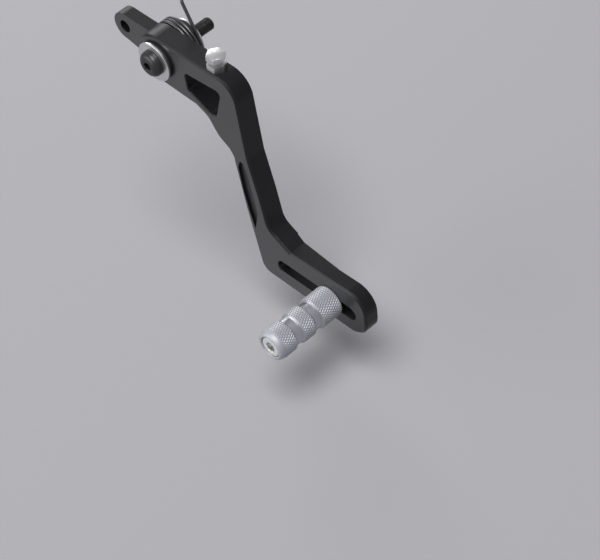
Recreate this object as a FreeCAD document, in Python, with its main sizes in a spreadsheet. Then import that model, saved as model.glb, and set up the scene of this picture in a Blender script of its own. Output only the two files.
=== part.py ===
import FreeCAD, Part
import math
import os
import Sketcher

# Rear brake pedal of a motorbike, for the right-hand side, in millimetres.
# X runs forward, Y towards the bike and Z up. The origin is on the pivot axis, on the plane
# where the pivot seats on the bike's bracket. Pressing the foot turns the pedal about +Y.
# Places across the pedal are given as "out": the distance from that plane away from the bike.

os.makedirs("parts", exist_ok=True)
doc = FreeCAD.newDocument("brake_pedal")
sheet = doc.addObject("Spreadsheet::Sheet", "dims")

# Driving dimensions: name, value, what it measures.
DRIVING = [
    ("hub_radius", 16.0, "outline radius of the arm round the pivot"),
    ("boss_radius", 13.0, "radius of the hub's boss on the bike's side"),
    ("boss_length", 9.0, "how far the boss stands out of the arm"),
    ("arm_thick", 13.0, "thickness of the arm"),
    ("foot_thick", 9.4, "thickness of the foot at its front end"),
    ("edge_chamfer", 1.3, "chamfer round the outer face"),
    ("window_chamfer", 0.6, "chamfer round the window"),
    ("slot_chamfer", 0.5, "chamfer round the slot"),
    ("overrun", 1.0, "how far a cut runs past the face that it opens"),
    ("bush_outer_radius", 8.0, "outside of the pivot bushes"),
    ("bush_flange_radius", 10.0, "flange of the pivot bushes"),
    ("bush_flange_thick", 1.5, "thickness of that flange"),
    ("bush_length", 9.0, "length of a bush inside the hub"),
    ("sleeve_radius", 6.0, "outside of the steel sleeve that the bushes run on"),
    ("running_gap", 0.04, "radial play of a bush on its sleeve"),
    ("end_play", 0.1, "side play of the hub at each end"),
    ("bolt_radius", 4.0, "pivot bolt's shank and thread"),
    ("bolt_gap", 0.1, "radial play of the bolt in the sleeve and washers"),
    ("bolt_thread", 16.0, "thread that reaches into the bracket"),
    ("relief_width", 1.0, "groove between the bolt's shank and its thread"),
    ("relief_depth", 0.6, "depth of that groove"),
    ("screw_chamfer", 0.8, "chamfer at the end of a screw"),
    ("ring_bevel", 0.3, "bevel round a washer, sleeve or seal"),
    ("bolt_head_radius", 8.0, "pivot bolt's head"),
    ("bolt_head_height", 5.0, "height of that head"),
    ("bolt_head_rim", 1.2, "straight rim of that head"),
    ("bolt_shoulder_radius", 6.7, "that head where its dome gets flatter"),
    ("bolt_shoulder_height", 3.4, "height of that place on the head"),
    ("bolt_crown_radius", 4.8, "flat crown of that head"),
    ("bolt_socket_depth", 3.0, "depth of its hexagon socket"),
    ("bolt_socket", 5.0, "hexagon socket of the pivot bolt, across flats"),
    ("washer_radius", 12.5, "pivot washers"),
    ("washer_thick", 1.5, "their thickness"),
    ("seal_radius", 12.0, "dust seals round the bush flanges"),
    ("seal_gap", 0.05, "play between a seal and its flange"),
    ("spring_radius", 15.5, "mean radius of the return spring's coil"),
    ("spring_wire", 2.0, "wire diameter of the return spring"),
    ("spring_gap", 0.2, "play between the spring and what it lies against"),
    ("spring_turns", 2.9167, "turns of the coil between its two legs"),
    ("spring_pitch", 2.23, "rise of the coil in one turn"),
    ("leg_angle", 60.0, "place on the coil where the arm's leg leaves it, in degrees"),
    ("leg_length", 22.5, "leg on the arm"),
    ("bracket_leg", 24.0, "leg towards the bracket"),
    ("hook_length", 8.0, "hook that reaches into the bracket"),
    ("hook_radius", 3.0, "bend of that hook"),
    ("leg_past_post", 4.0, "end of that leg beyond the spring post"),
    ("post_radius", 2.5, "spring post"),
    ("post_head_radius", 3.5, "head of the spring post"),
    ("post_head_height", 1.0, "thickness of that head"),
    ("post_height", 4.2, "how far the post stands out of the arm"),
    ("post_depth", 6.0, "how deep it is pressed in"),
    ("lug_back", 32.0, "pushrod hole behind the pivot"),
    ("lug_up", 3.0, "pushrod hole above the pivot"),
    ("lug_radius", 9.0, "round end of the pushrod lug"),
    ("lug_thick", 8.0, "thickness of the lug"),
    ("lug_neck", 9.0, "half the height of the lug where it leaves the hub"),
    ("pushrod_radius", 4.0, "hole for the pushrod's pin"),
    ("beam_front", 63.0, "front edge of the arm at its top corner"),
    ("beam_corner", 14.0, "rounding of that corner"),
    ("pedal_reach", 127.2, "step pin ahead of the pivot"),
    ("slot_drop", 108.0, "slot's centre line below the pivot"),
    ("slot_span", 53.4, "distance between the slot's end centres"),
    ("slot_width", 8.4, "width of the slot"),
    ("slot_wall", 6.5, "wall between the outer face and the nut's track"),
    ("foot_above", 15.9, "foot's top edge above the slot's centre line, at the rear"),
    ("foot_rise", 1.9, "how much higher that edge is at the front"),
    ("foot_below", 15.0, "foot's lower edge below the slot's centre line"),
    ("foot_end", 12.6, "front end ahead of the slot's front centre"),
    ("foot_round", 13.0, "rounding of the foot's front corners"),
    ("heel_round", 8.0, "rounding of the foot's rear corner"),
    ("bend_round", 10.0, "rounding of the arm's bends"),
    ("taper_start", 4.0, "start of the thinning behind the slot's rear centre"),
    ("taper_length", 42.0, "length over which the foot gets thinner"),
    ("pocket_depth", 1.5, "depth of the milled pocket in the outer face"),
    ("pocket_round", 2.0, "rounding of the milled pocket's corners"),
    ("window_top", 3.0, "window's upper edge above the pivot"),
    ("window_round", 2.5, "rounding of the window's corners"),
    ("window_wall", 6.5, "wall between the hub's outline and the window's upper corner"),
    ("stop_ahead", 44.0, "stop screw ahead of the pivot"),
    ("stop_radius", 3.0, "stop screw's thread"),
    ("stop_depth", 10.0, "how deep the stop screw reaches into the arm"),
    ("stop_flats", 10.0, "stop screw's head and nut, across flats"),
    ("stop_nut", 4.0, "height of the stop screw's nut"),
    ("stop_showing", 2.0, "bare thread between nut and head"),
    ("stop_head", 4.0, "height of the stop screw's head"),
    ("thread_gap", 0.05, "radial play of a screw in its thread"),
    ("pin_share", 0.707865, "step pin's place along the slot, as a share of its span"),
    ("pin_radius", 10.0, "step pin over its knurl"),
    ("pin_length", 48.3, "length of the step pin"),
    ("pin_seat_gap", 0.05, "clearance under the step pin and under its nut"),
    ("groove_radius", 8.6, "floor of the step pin's grooves"),
    ("groove_one", 15.3, "start of the first groove, from the arm"),
    ("groove_one_width", 4.7, "width of the first groove"),
    ("groove_two", 29.9, "start of the second groove"),
    ("groove_two_width", 5.2, "width of the second groove"),
    ("rim_chamfer", 1.0, "chamfer of the rims beside the grooves"),
    ("tip_length", 4.2, "length of the rounded tip"),
    ("tip_radius", 7.4, "radius of the tip's end face"),
    ("tip_bore_radius", 6.75, "recess for the screw's head"),
    ("tip_bore_depth", 9.9, "depth of that recess"),
    ("screw_radius", 4.0, "step pin screw"),
    ("screw_gap", 0.2, "radial play of the screw in the step pin"),
    ("screw_head_radius", 6.5, "head of the step pin screw"),
    ("screw_head_height", 8.0, "height of that head"),
    ("screw_head_chamfer", 0.6, "chamfer round that head"),
    ("screw_socket_depth", 4.0, "depth of its hexagon socket"),
    ("screw_socket", 6.0, "its hexagon socket, across flats"),
    ("screw_past_nut", 0.8, "screw's end beyond the nut"),
    ("lock_washer_thick", 1.5, "washer under the screw's head"),
    ("lock_washer_inset", 0.1, "how much smaller it is than the head, all round"),
    ("nut_length", 18.0, "slot nut along the slot"),
    ("nut_width", 12.9, "slot nut across the slot"),
    ("nut_thick", 6.0, "thickness of the slot nut"),
    ("nut_corner", 3.0, "chamfer of the slot nut's corners"),
    ("track_gap", 0.2, "play of the slot nut at each side of its track"),
    ("track_end_gap", 0.5, "play of the slot nut at each end of its track"),
]

# Corners of the arm's outline, of its window and of its milled pocket, measured forward and
# up from the slot's rear centre.
CORNERS = [
    ("brow", -20.8, 72.7, "front edge, where the leg begins to lean forward"),
    ("shin", -14.4, 47.5, "front edge, middle of the leg"),
    ("ankle", -9.7, 24.5, "front edge, above the foot"),
    ("instep", 6.5, 15.9, "where the foot's top begins"),
    ("heel", -17.8, -13.3, "rear lower corner of the foot"),
    ("calf_low", -21.9, 5.7, "rear edge, beside the slot's end"),
    ("calf_mid", -27.4, 31.8, "rear edge, middle of the leg"),
    ("calf_top", -33.5, 68.0, "rear edge, top of the leg"),
    ("crook", -36.0, 71.8, "inner corner between leg and rib"),
    ("elbow", -44.3, 76.8, "lower edge below the window"),
    ("rib_bend", -51.5, 87.1, "lower edge, where the thin rib begins"),
    ("rib_start", -59.9, 90.8, "lower edge of the thin rib, near the hub"),
    ("window_toe", -48.9, 91.1, "window's lowest corner"),
    ("window_knee", -43.6, 92.7, "window's lower front corner"),
    ("window_brow", -37.9, 113.2, "window's upper front corner"),
    ("window_heel", -65.7, 98.9, "window's lower rear corner"),
    ("pocket_top", -26.6, 72.2, "milled pocket's upper end"),
    ("pocket_front_a", -22.2, 58.7, "its front side, upper corner"),
    ("pocket_front_b", -19.2, 43.6, "its front side, middle corner"),
    ("pocket_front_c", -17.4, 31.6, "its front side, lower corner"),
    ("pocket_tip", -20.8, 18.2, "its pointed lower end"),
    ("pocket_rear_c", -24.0, 29.2, "its rear side, lower corner"),
    ("pocket_rear_b", -27.5, 44.8, "its rear side, middle corner"),
    ("pocket_rear_a", -29.7, 61.9, "its rear side, upper corner"),
]
for corner, ahead, above, meaning in CORNERS:
    DRIVING.append((corner + "_ahead", ahead, meaning + ", forward"))
    DRIVING.append((corner + "_above", above, meaning + ", up"))
for number, (alias, value, meaning) in enumerate(DRIVING, start=1):
    sheet.set("A%d" % number, alias)
    sheet.set("B%d" % number, str(value))
    sheet.set("C%d" % number, meaning)
    sheet.setAlias("B%d" % number, alias)
doc.recompute()


NEAR = 0.01
BESIDE = 0.1


class Size:
    """A length worked out from the sheet, with the expression that says how."""

    def __init__(self, value, text):
        self.value = float(value)
        self.text = text

    def __add__(self, other):
        other = as_size(other)
        return Size(self.value + other.value, "(%s + %s)" % (self.text, other.text))

    def __sub__(self, other):
        other = as_size(other)
        return Size(self.value - other.value, "(%s - %s)" % (self.text, other.text))

    def __mul__(self, other):
        other = as_size(other)
        return Size(self.value * other.value, "(%s * %s)" % (self.text, other.text))

    def __truediv__(self, other):
        other = as_size(other)
        return Size(self.value / other.value, "(%s / %s)" % (self.text, other.text))

    def __neg__(self):
        return Size(-self.value, "(0 - %s)" % self.text)


def as_size(number):
    return number if isinstance(number, Size) else Size(number, repr(float(number)))


def size(alias):
    return Size(sheet.get(alias), "dims.%s" % alias)


def cosine(angle):
    return Size(math.cos(math.radians(angle.value)), "cos(%s * 1 deg)" % angle.text)


def sine(angle):
    return Size(math.sin(math.radians(angle.value)), "sin(%s * 1 deg)" % angle.text)


def bind(thing, prop, length):
    """Ties one property to the sheet."""
    thing.setExpression(prop, as_size(length).text)


def new_body(name, x=0.0, out=0.0, z=0.0):
    """A piece in its own body, moved to its place."""
    body = doc.addObject("PartDesign::Body", name)
    body.Label = name
    bind(body, "Placement.Base.x", x)
    bind(body, "Placement.Base.y", -as_size(out))
    bind(body, "Placement.Base.z", z)
    return body


def new_sketch(body, role, name, offset=0.0):
    """A sketch on one of the body's own planes. On XZ_Plane the offset runs outwards."""
    plane = [item for item in body.Origin.OriginFeatures if item.Role == role][0]
    sketch = body.newObject("Sketcher::SketchObject", name)
    sketch.AttachmentSupport = [(plane, "")]
    sketch.MapMode = "FlatFace"
    bind(sketch, "AttachmentOffset.Base.z", offset)
    return sketch


def place_point(sketch, geometry, point, across, up):
    """Ties a point of the sketch to its two distances from the sketch's origin."""
    for kind, length in (("DistanceX", as_size(across)), ("DistanceY", as_size(up))):
        constraint = Sketcher.Constraint(kind, -1, 1, geometry, point, length.value)
        number = sketch.addConstraint(constraint)
        sketch.setExpression("Constraints[%d]" % number, length.text)


def add_polygon(sketch, corners):
    """A closed outline of straight edges through the given corners."""
    places = [(as_size(a), as_size(b)) for a, b in corners]
    points = [FreeCAD.Vector(a.value, b.value, 0) for a, b in places]
    count = len(points)
    first = sketch.GeometryCount
    for i in range(count):
        sketch.addGeometry(Part.LineSegment(points[i], points[(i + 1) % count]), False)
    for i in range(count):
        following = first + (i + 1) % count
        sketch.addConstraint(Sketcher.Constraint("Coincident", first + i, 2, following, 1))
    for i, (across, up) in enumerate(places):
        place_point(sketch, first + i, 1, across, up)


def add_circle(sketch, across, up, radius):
    centre = FreeCAD.Vector(as_size(across).value, as_size(up).value, 0)
    normal = FreeCAD.Vector(0, 0, 1)
    number = sketch.addGeometry(Part.Circle(centre, normal, radius.value), False)
    constraint = sketch.addConstraint(Sketcher.Constraint("Radius", number, radius.value))
    sketch.setExpression("Constraints[%d]" % constraint, radius.text)
    place_point(sketch, number, 3, across, up)


def hexagon(flats, across=0.0, up=0.0):
    """Corners of a hexagon, from its width across flats."""
    reach = flats / math.sqrt(3.0)
    turns = [math.radians(60.0 * i) for i in range(6)]
    return [(reach * math.cos(a) + across, reach * math.sin(a) + up) for a in turns]


def pad(body, sketch, name, length, reverse=False):
    feature = body.newObject("PartDesign::Pad", name)
    feature.Profile = sketch
    bind(feature, "Length", length)
    feature.Reversed = reverse
    doc.recompute()
    return feature


def pocket(body, sketch, name, length=None, reverse=False):
    """A cut to a depth, or right through where no depth is given."""
    before = body.Shape.Volume
    feature = body.newObject("PartDesign::Pocket", name)
    feature.Profile = sketch
    if length is None:
        feature.Type = "ThroughAll"
    else:
        bind(feature, "Length", length)
    feature.Reversed = reverse
    doc.recompute()
    if body.Shape.Volume >= before:
        raise ValueError("%s cuts nothing" % name)
    return feature


def revolve(body, sketch, name="turned"):
    """A turned piece: the sketch holds half of its section beside its upright axis."""
    feature = body.newObject("PartDesign::Revolution", name)
    feature.Profile = sketch
    feature.ReferenceAxis = (sketch, ["V_Axis"])
    feature.Angle = 360.0
    doc.recompute()
    return feature


def dress(body, kind, name, base, edges, prop, length):
    """A fillet or chamfer on named edges of a feature."""
    feature = body.newObject("PartDesign::" + kind, name)
    feature.Base = (base, edges)
    bind(feature, prop, length)
    doc.recompute()
    return feature


def upright_edges(feature, places):
    """Edges that run across the arm at the given places of its outline."""
    names = []
    for number, edge in enumerate(feature.Shape.Edges, start=1):
        ends = [vertex.Point for vertex in edge.Vertexes]
        if len(ends) != 2 or abs(ends[0].y - ends[1].y) < BESIDE:
            continue
        for across, up in places:
            near = [math.hypot(p.x - as_size(across).value, p.z - as_size(up).value) < NEAR
                    for p in ends]
            if all(near):
                names.append("Edge%d" % number)
    return names


def edges_at(feature, out, inside):
    """Edges that lie on the plane at that distance out, with their middle inside a test."""
    names = []
    for number, edge in enumerate(feature.Shape.Edges, start=1):
        box = edge.BoundBox
        if abs(box.YMin + out.value) > NEAR or abs(box.YMax + out.value) > NEAR:
            continue
        middle = edge.valueAt((edge.FirstParameter + edge.LastParameter) / 2.0)
        if inside(middle):
            names.append("Edge%d" % number)
    return names


# Places that several pieces share, as distances out from the bracket's plane.
hub_in = size("washer_thick") + size("end_play") + size("bush_flange_thick")
arm_in = hub_in + size("boss_length")
arm_out = arm_in + size("arm_thick")
arm_mid = arm_in + size("arm_thick") / 2.0
sleeve_end = arm_out + size("bush_flange_thick") + size("end_play")
head_seat = sleeve_end + size("washer_thick")
track_floor = arm_out - size("slot_wall")
slot_z = -size("slot_drop")
slot_rear = size("pedal_reach") - size("slot_span") * size("pin_share")
slot_front = slot_rear + size("slot_span")
pin_x = size("pedal_reach")
coil_rise = size("spring_pitch") / (size("spring_radius") * (2.0 * math.pi))
leg_drift = size("leg_length") * coil_rise
coil_out = arm_in - size("spring_wire") / 2.0 - size("spring_gap") - leg_drift


def from_slot(ahead, above):
    """A corner of the outline, measured from the slot's rear centre."""
    return (slot_rear + ahead, slot_z + above)


def corner(name):
    return from_slot(size(name + "_ahead"), size(name + "_above"))


# Pedal arm: one piece of aluminium, milled from plate. Its outline is a beam from the hub
# to a rounded corner, a leg that bends down and forward, and a foot along the slot.
foot_top = size("foot_above") + size("foot_rise")
nose = size("slot_span") + size("foot_end")
top_corner = (size("beam_front"), size("hub_radius"))
toe_top = from_slot(nose, foot_top)
toe_bottom = from_slot(nose, -size("foot_below"))
front_edge = [corner("brow"), corner("shin"), corner("ankle"), corner("instep")]
rear_edge = [corner(name) for name in (
    "heel", "calf_low", "calf_mid", "calf_top", "crook", "elbow", "rib_bend", "rib_start")]
outline = [(0.0, size("hub_radius")), top_corner] + front_edge + [toe_top, toe_bottom]
outline += rear_edge + [(0.0, -size("hub_radius"))]
arm = new_body("pedal_arm")
arm_sketch = new_sketch(arm, "XZ_Plane", "arm_outline", arm_in)
add_polygon(arm_sketch, outline)
plate = pad(arm, arm_sketch, "arm_plate", size("arm_thick"))
plate = dress(arm, "Fillet", "toe_rounds", plate, upright_edges(plate, [toe_top, toe_bottom]),
              "Radius", size("foot_round"))
plate = dress(arm, "Fillet", "corner_round", plate, upright_edges(plate, [top_corner]),
              "Radius", size("beam_corner"))
heels = [corner("heel"), corner("rib_bend")]
plate = dress(arm, "Fillet", "heel_rounds", plate, upright_edges(plate, heels),
              "Radius", size("heel_round"))
bends = [corner(name) for name in ("brow", "shin", "ankle", "calf_mid", "elbow")]
plate = dress(arm, "Fillet", "bend_rounds", plate, upright_edges(plate, bends),
              "Radius", size("bend_round"))

hub_sketch = new_sketch(arm, "XZ_Plane", "hub_outline", arm_in)
add_circle(hub_sketch, 0.0, 0.0, size("hub_radius"))
pad(arm, hub_sketch, "hub", size("arm_thick"))

# Window that lightens the arm between the beam and the thin lower rib.
window_left = size("hub_radius") + size("window_wall")
window = [corner("window_toe"), corner("window_knee"), corner("window_brow"),
          (window_left, size("window_top")), corner("window_heel")]
window_sketch = new_sketch(arm, "XZ_Plane", "window_outline", arm_out)
add_polygon(window_sketch, window)
plate = pocket(arm, window_sketch, "window")
plate = dress(arm, "Fillet", "window_rounds", plate, upright_edges(plate, window),
              "Radius", size("window_round"))


def in_window(point):
    across = [place[0].value for place in window]
    up = [place[1].value for place in window]
    beside = min(across) - BESIDE < point.x < max(across) + BESIDE
    level = min(up) - BESIDE < point.z < max(up) + BESIDE
    return beside and level and above_rib(point)


def above_rib(point):
    """True above the thin rib's lower edge, so that the rib's outside stays apart."""
    start = corner("rib_start")
    bend = corner("rib_bend")
    elbow = corner("elbow")
    if point.x < bend[0].value:
        share = (point.x - start[0].value) / (bend[0].value - start[0].value)
        low = start[1].value + share * (bend[1].value - start[1].value)
    else:
        share = (point.x - bend[0].value) / (elbow[0].value - bend[0].value)
        low = bend[1].value + share * (elbow[1].value - bend[1].value)
    return point.z > low + 2.0 * size("edge_chamfer").value


outer_edges = edges_at(plate, arm_out, lambda point: not in_window(point))
plate = dress(arm, "Chamfer", "face_chamfer", plate, outer_edges, "Size", size("edge_chamfer"))
plate = dress(arm, "Chamfer", "window_edge", plate, edges_at(plate, arm_out, in_window),
              "Size", size("window_chamfer"))

# Boss on the bike's side, which the return spring goes round.
boss_sketch = new_sketch(arm, "XZ_Plane", "boss_outline", hub_in)
add_circle(boss_sketch, 0.0, 0.0, size("boss_radius"))
pad(arm, boss_sketch, "boss", size("boss_length") + size("edge_chamfer"))

# Lug behind the hub for the pushrod of the brake cylinder.
lug_x = -size("lug_back")
lug_sketch = new_sketch(arm, "XZ_Plane", "lug_web_outline", arm_in)
add_polygon(lug_sketch, [
    (0.0, size("lug_neck") + size("lug_up")),
    (lug_x, size("lug_up") + size("lug_radius")),
    (lug_x, size("lug_up") - size("lug_radius")),
    (0.0, -size("lug_neck") - size("lug_up")),
])
pad(arm, lug_sketch, "lug_web", size("lug_thick"))
eye_sketch = new_sketch(arm, "XZ_Plane", "lug_eye_outline", arm_in)
add_circle(eye_sketch, lug_x, size("lug_up"), size("lug_radius"))
pad(arm, eye_sketch, "lug_eye", size("lug_thick"))

# Holes of the arm: the pivot, the pushrod, the stop screw and the spring post.
bore_sketch = new_sketch(arm, "XZ_Plane", "pivot_bore_outline", arm_out)
add_circle(bore_sketch, 0.0, 0.0, size("bush_outer_radius"))
pocket(arm, bore_sketch, "pivot_bore")
pushrod_sketch = new_sketch(arm, "XZ_Plane", "pushrod_outline", arm_in)
add_circle(pushrod_sketch, lug_x, size("lug_up"), size("pushrod_radius"))
pocket(arm, pushrod_sketch, "pushrod_bore", reverse=True)
stop_sketch = new_sketch(arm, "XY_Plane", "stop_hole_outline", size("hub_radius"))
add_circle(stop_sketch, size("stop_ahead"), -arm_mid, size("stop_radius") + size("thread_gap"))
pocket(arm, stop_sketch, "stop_hole",
       size("hub_radius") - size("window_top") + size("overrun"))

leg_start_x = size("spring_radius") * cosine(size("leg_angle"))
leg_start_z = size("spring_radius") * sine(size("leg_angle"))
post_offset = size("spring_wire") / 2.0 + size("post_radius") + size("spring_gap")
post_reach = size("leg_length") - size("leg_past_post")
post_x = leg_start_x + post_reach * sine(size("leg_angle")) \
    + post_offset * cosine(size("leg_angle"))
post_z = leg_start_z - post_reach * cosine(size("leg_angle")) \
    + post_offset * sine(size("leg_angle"))
post_hole_sketch = new_sketch(arm, "XZ_Plane", "post_hole_outline", arm_in)
add_circle(post_hole_sketch, post_x, post_z, size("post_radius"))
pocket(arm, post_hole_sketch, "post_hole", size("post_depth"), reverse=True)

# Long pocket milled into the outer face, pointed at both ends.
shin_pocket = [corner("pocket_" + name) for name in (
    "top", "front_a", "front_b", "front_c", "tip", "rear_c", "rear_b", "rear_a")]
rounded = [place for place in shin_pocket if place is not shin_pocket[4]]
pocket_sketch = new_sketch(arm, "XZ_Plane", "shin_pocket_outline", arm_out)
add_polygon(pocket_sketch, shin_pocket)
shin_cut = pocket(arm, pocket_sketch, "shin_pocket", size("pocket_depth"))
dress(arm, "Fillet", "shin_pocket_rounds", shin_cut,
      upright_edges(shin_cut, rounded), "Radius", size("pocket_round"))

# Slot for the step pin's screw, and behind it the track that its nut slides in.
half_slot = size("slot_width") / 2.0
slot_sketch = new_sketch(arm, "XZ_Plane", "slot_outline", arm_out)
add_polygon(slot_sketch, [
    (slot_rear, slot_z - half_slot), (slot_front, slot_z - half_slot),
    (slot_front, slot_z + half_slot), (slot_rear, slot_z + half_slot),
])
pocket(arm, slot_sketch, "slot_middle")
for end, place in (("rear", slot_rear), ("front", slot_front)):
    end_sketch = new_sketch(arm, "XZ_Plane", "slot_%s_outline" % end, arm_out)
    add_circle(end_sketch, place, slot_z, half_slot)
    plate = pocket(arm, end_sketch, "slot_%s" % end)


def on_slot(point):
    near_line = abs(point.z - slot_z.value) < half_slot.value + BESIDE
    ahead = point.x > slot_rear.value - half_slot.value - BESIDE
    return near_line and ahead and point.x < slot_front.value + half_slot.value + BESIDE


dress(arm, "Chamfer", "slot_edge", plate, edges_at(plate, arm_out, on_slot),
      "Size", size("slot_chamfer"))

track_x = size("nut_length") / 2.0 + size("track_end_gap")
track_z = size("nut_width") / 2.0 + size("track_gap")
track_sketch = new_sketch(arm, "XZ_Plane", "track_outline", arm_in)
add_polygon(track_sketch, [
    (slot_rear - track_x, slot_z - track_z), (slot_front + track_x, slot_z - track_z),
    (slot_front + track_x, slot_z + track_z), (slot_rear - track_x, slot_z + track_z),
])
pocket(arm, track_sketch, "nut_track", size("arm_thick") - size("slot_wall"), reverse=True)

# The foot gets thinner towards its front end, on the bike's side.
foot_in = arm_out - size("foot_thick")
taper_from = slot_rear - size("taper_start")
past = size("overrun")
taper_sketch = new_sketch(arm, "XY_Plane", "taper_outline", slot_z + foot_top + past)
add_polygon(taper_sketch, [
    (taper_from, -arm_in), (taper_from + size("taper_length"), -foot_in),
    (slot_front + size("foot_end") + past, -foot_in),
    (slot_front + size("foot_end") + past, -arm_in + past), (taper_from, -arm_in + past),
])
pocket(arm, taper_sketch, "foot_taper", foot_top + size("foot_below") + past * 2.0)


def turned(name, corners, x=0.0, out=0.0, z=0.0, plane="XY_Plane"):
    """A turned piece. Corners are radius and distance out, or radius and height on XZ_Plane."""
    body = new_body(name, x, out, z)
    section = new_sketch(body, plane, name + "_section")
    if plane == "XY_Plane":
        corners = [(radius, -as_size(along)) for radius, along in corners]
    add_polygon(section, corners)
    revolve(body, section, name + "_turned")
    return body


def ring(name, inner, outer, thick, x=0.0, out=0.0, z=0.0):
    """A flat ring with small bevels on its outside."""
    bevel = size("ring_bevel")
    return turned(name, [
        (inner, 0.0), (outer - bevel, 0.0), (outer, bevel), (outer, thick - bevel),
        (outer - bevel, thick), (inner, thick),
    ], x, out, z)


# Pivot: a bolt through a steel sleeve, with a washer at each end of the sleeve.
bolt_hole = size("bolt_radius") + size("bolt_gap")
ring("pivot_washer_inner", bolt_hole, size("washer_radius"), size("washer_thick"))
ring("pivot_washer_outer", bolt_hole, size("washer_radius"), size("washer_thick"),
     out=sleeve_end)
ring("pivot_sleeve", bolt_hole, size("sleeve_radius"), sleeve_end - size("washer_thick"),
     out=size("washer_thick"))

head_top = head_seat + size("bolt_head_height")
bolt = turned("pivot_bolt", [
    (0.0, -size("bolt_thread")),
    (size("bolt_radius") - size("screw_chamfer"), -size("bolt_thread")),
    (size("bolt_radius"), -size("bolt_thread") + size("screw_chamfer")),
    (size("bolt_radius"), 0.0), (size("bolt_radius") - size("relief_depth"), 0.0),
    (size("bolt_radius") - size("relief_depth"), size("relief_width")),
    (size("bolt_radius"), size("relief_width")), (size("bolt_radius"), head_seat),
    (size("bolt_head_radius"), head_seat),
    (size("bolt_head_radius"), head_seat + size("bolt_head_rim")),
    (size("bolt_shoulder_radius"), head_seat + size("bolt_shoulder_height")),
    (size("bolt_crown_radius"), head_top), (0.0, head_top),
])
socket_sketch = new_sketch(bolt, "XZ_Plane", "pivot_socket_outline", head_top)
add_polygon(socket_sketch, hexagon(size("bolt_socket")))
pocket(bolt, socket_sketch, "pivot_socket", size("bolt_socket_depth"))

# Flanged bushes, pressed into both ends of the hub, and the dust seals round their flanges.
bush_bore = size("sleeve_radius") + size("running_gap")
turned("pivot_bush_outer", [
    (bush_bore, -size("bush_length")), (size("bush_outer_radius"), -size("bush_length")),
    (size("bush_outer_radius"), 0.0), (size("bush_flange_radius"), 0.0),
    (size("bush_flange_radius"), size("bush_flange_thick")),
    (bush_bore, size("bush_flange_thick")),
], out=arm_out)
turned("pivot_bush_inner", [
    (bush_bore, size("bush_length")), (size("bush_outer_radius"), size("bush_length")),
    (size("bush_outer_radius"), 0.0), (size("bush_flange_radius"), 0.0),
    (size("bush_flange_radius"), -size("bush_flange_thick")),
    (bush_bore, -size("bush_flange_thick")),
], out=hub_in)
seal_inside = size("bush_flange_radius") + size("seal_gap")
ring("pivot_seal_outer", seal_inside, size("seal_radius"), size("bush_flange_thick"),
     out=arm_out)
ring("pivot_seal_inner", seal_inside, size("seal_radius"), size("bush_flange_thick"),
     out=hub_in - size("bush_flange_thick"))

# Post that the return spring's leg pushes up on, pressed into the arm.
post_end = -size("post_height")
post_head = post_end + size("post_head_height")
turned("spring_post", [
    (0.0, size("post_depth")), (size("post_radius"), size("post_depth")),
    (size("post_radius"), post_head), (size("post_head_radius"), post_head),
    (size("post_head_radius"), post_end + size("ring_bevel")),
    (size("post_head_radius") - size("ring_bevel"), post_end), (0.0, post_end),
], post_x, arm_in, post_z)

# Stop screw on top of the beam, held by its nut. Its head rests against the bracket.
head_low = size("stop_nut") + size("stop_showing")
stop_body = new_body("stop_screw", size("stop_ahead"), arm_mid, size("hub_radius"))
shank_sketch = new_sketch(stop_body, "XY_Plane", "stop_shank_outline", -size("stop_depth"))
add_circle(shank_sketch, 0.0, 0.0, size("stop_radius"))
pad(stop_body, shank_sketch, "stop_shank", size("stop_depth") + head_low)
stop_head_sketch = new_sketch(stop_body, "XY_Plane", "stop_head_outline", head_low)
add_polygon(stop_head_sketch, hexagon(size("stop_flats")))
pad(stop_body, stop_head_sketch, "stop_head", size("stop_head"))
nut_body = new_body("stop_locknut", size("stop_ahead"), arm_mid, size("hub_radius"))
nut_sketch = new_sketch(nut_body, "XY_Plane", "stop_nut_outline")
add_polygon(nut_sketch, hexagon(size("stop_flats")))
add_circle(nut_sketch, 0.0, 0.0, size("stop_radius") + size("thread_gap"))
pad(nut_body, nut_sketch, "stop_nut_hexagon", size("stop_nut"))

# Step pin: turned aluminium with two grooves between its knurled bands and a rounded tip
# that holds the screw's head. Its base rests on the arm's outer face.
pin_seat = arm_out + size("pin_seat_gap")
tip_start = size("pin_length") - size("tip_length")
rim = size("rim_chamfer")
full = size("pin_radius")
bore = size("screw_radius") + size("screw_gap")
floor_radius = size("groove_radius")
head_floor = size("pin_length") - size("tip_bore_depth")
tip_drop = full - size("tip_radius")
pin_corners = [(bore, 0.0), (full - rim, 0.0), (full, rim)]
for start, width in (("groove_one", "groove_one_width"), ("groove_two", "groove_two_width")):
    low = size(start)
    high = low + size(width)
    pin_corners += [(full, low - rim), (full - rim, low), (floor_radius, low),
                    (floor_radius, high), (full - rim, high), (full, high + rim)]
pin_corners += [(full, tip_start)]
for degrees in (30.0, 60.0):
    share = math.radians(degrees)
    pin_corners.append((full - tip_drop * (1.0 - math.cos(share)),
                        tip_start + size("tip_length") * math.sin(share)))
pin_corners += [(size("tip_radius"), size("pin_length")),
                (size("tip_bore_radius"), size("pin_length")),
                (size("tip_bore_radius"), head_floor), (bore, head_floor)]
turned("step_pin", pin_corners, pin_x, pin_seat, slot_z)

ring("step_pin_lock_washer", bore, size("screw_head_radius") - size("lock_washer_inset"),
     size("lock_washer_thick"), pin_x, pin_seat + head_floor, slot_z)

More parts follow.
